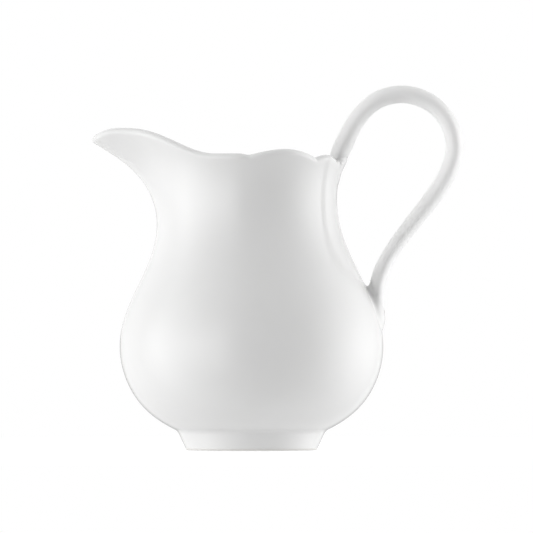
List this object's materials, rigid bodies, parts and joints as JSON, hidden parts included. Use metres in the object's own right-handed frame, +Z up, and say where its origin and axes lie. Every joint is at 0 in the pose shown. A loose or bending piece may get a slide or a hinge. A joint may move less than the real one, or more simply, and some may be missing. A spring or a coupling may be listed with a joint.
{
  "type": "cream jug",
  "caption": "Small pear-shaped porcelain cream jug with a waved rim, a beak spout, a foot ring and a tall looped handle that springs from the rim.",
  "frame": {"origin": "on the table, under the middle of the foot ring and on the body's own axis", "axes": "+Z up, +X from the spout towards the handle, +Y across"},
  "size_m": [0.1224, 0.0868, 0.1203],
  "materials": {
    "glaze": "clear gloss glaze over white hard porcelain",
    "slip": "slip of the same porcelain, glazed over",
    "foot": "glazed sides, bare matt bisque where it stands"
  },
  "bodies": {
    "root": {"body": "glaze", "handle": "glaze", "upper_handle_joint": "slip", "lower_handle_joint": "slip", "foot_ring": "foot"}
  },
  "joints": []
}
